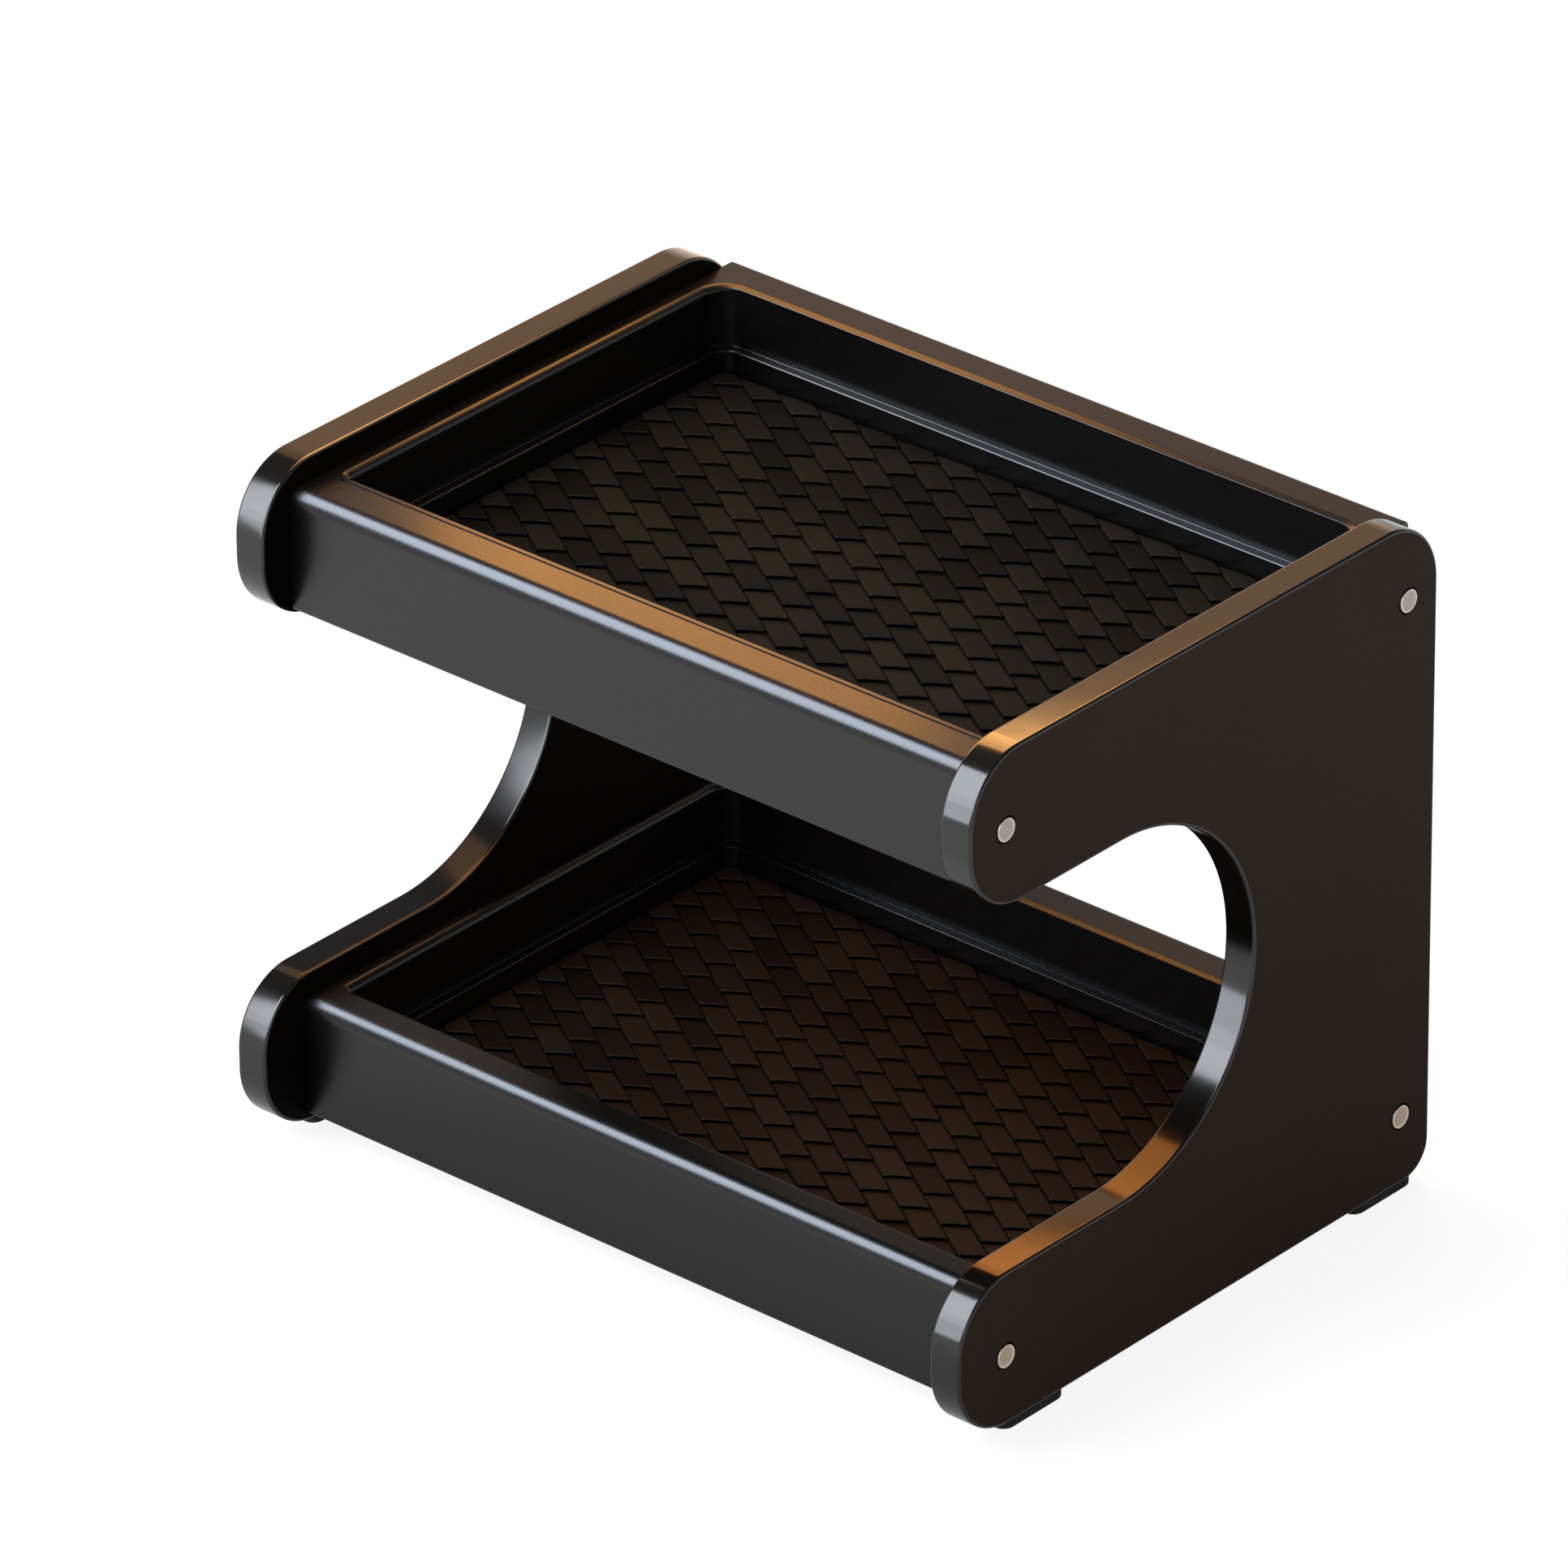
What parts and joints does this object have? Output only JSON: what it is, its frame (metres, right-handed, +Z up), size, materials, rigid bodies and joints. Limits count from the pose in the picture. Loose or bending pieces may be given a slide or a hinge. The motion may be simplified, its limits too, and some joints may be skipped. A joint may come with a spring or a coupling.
{
  "type": "two-tier cup stand",
  "caption": "Two-tier countertop stand for cups: C-shaped side panels, shallow moulded trays with woven mats, capped side screws and rubber feet.",
  "frame": {"origin": "on the ground, under the middle of the stand", "axes": "+X to the right along the width, +Y to the back, +Z up"},
  "size_m": [0.3458, 0.262, 0.275],
  "materials": {
    "panel_lacquer": "black satin lacquer on board, glossy edges",
    "tray_plastic": "black moulded plastic, satin with a fine grain",
    "woven_mat": "dark brown-black, flat basket weave relief, soft sheen",
    "cap_metal": "satin silver",
    "screw_steel": "zinc plated",
    "insert_brass": "machined",
    "foot_rubber": "black, matt"
  },
  "bodies": {
    "root": {"left_side_panel": "panel_lacquer", "right_side_panel": "panel_lacquer", "upper_tray": "tray_plastic", "lower_tray": "tray_plastic", "cap_left_upper_front": "cap_metal", "cap_left_upper_rear": "cap_metal", "cap_left_lower_front": "cap_metal", "cap_left_lower_rear": "cap_metal", "cap_right_upper_front": "cap_metal", "cap_right_upper_rear": "cap_metal", "cap_right_lower_front": "cap_metal", "cap_right_lower_rear": "cap_metal", "screw_left_upper_front": "screw_steel", "screw_left_upper_rear": "screw_steel", "screw_left_lower_front": "screw_steel", "screw_left_lower_rear": "screw_steel", "screw_right_upper_front": "screw_steel", "screw_right_upper_rear": "screw_steel", "screw_right_lower_front": "screw_steel", "screw_right_lower_rear": "screw_steel", "insert_left_upper_front": "insert_brass", "insert_left_upper_rear": "insert_brass", "insert_left_lower_front": "insert_brass", "insert_left_lower_rear": "insert_brass", "insert_right_upper_front": "insert_brass", "insert_right_upper_rear": "insert_brass", "insert_right_lower_front": "insert_brass", "insert_right_lower_rear": "insert_brass", "foot_left_front": "foot_rubber", "foot_left_rear": "foot_rubber", "foot_right_front": "foot_rubber", "foot_right_rear": "foot_rubber"},
    "upper_mat": {"upper_mat": "woven_mat"},
    "lower_mat": {"lower_mat": "woven_mat"}
  },
  "joints": [
    {"name": "upper_mat_lift", "type": "slide", "parent": "root", "child": "upper_mat", "axis": [0, 0, 1], "range_m": [0, 0.1]},
    {"name": "lower_mat_lift", "type": "slide", "parent": "root", "child": "lower_mat", "axis": [0, 0, 1], "range_m": [0, 0.15]}
  ]
}
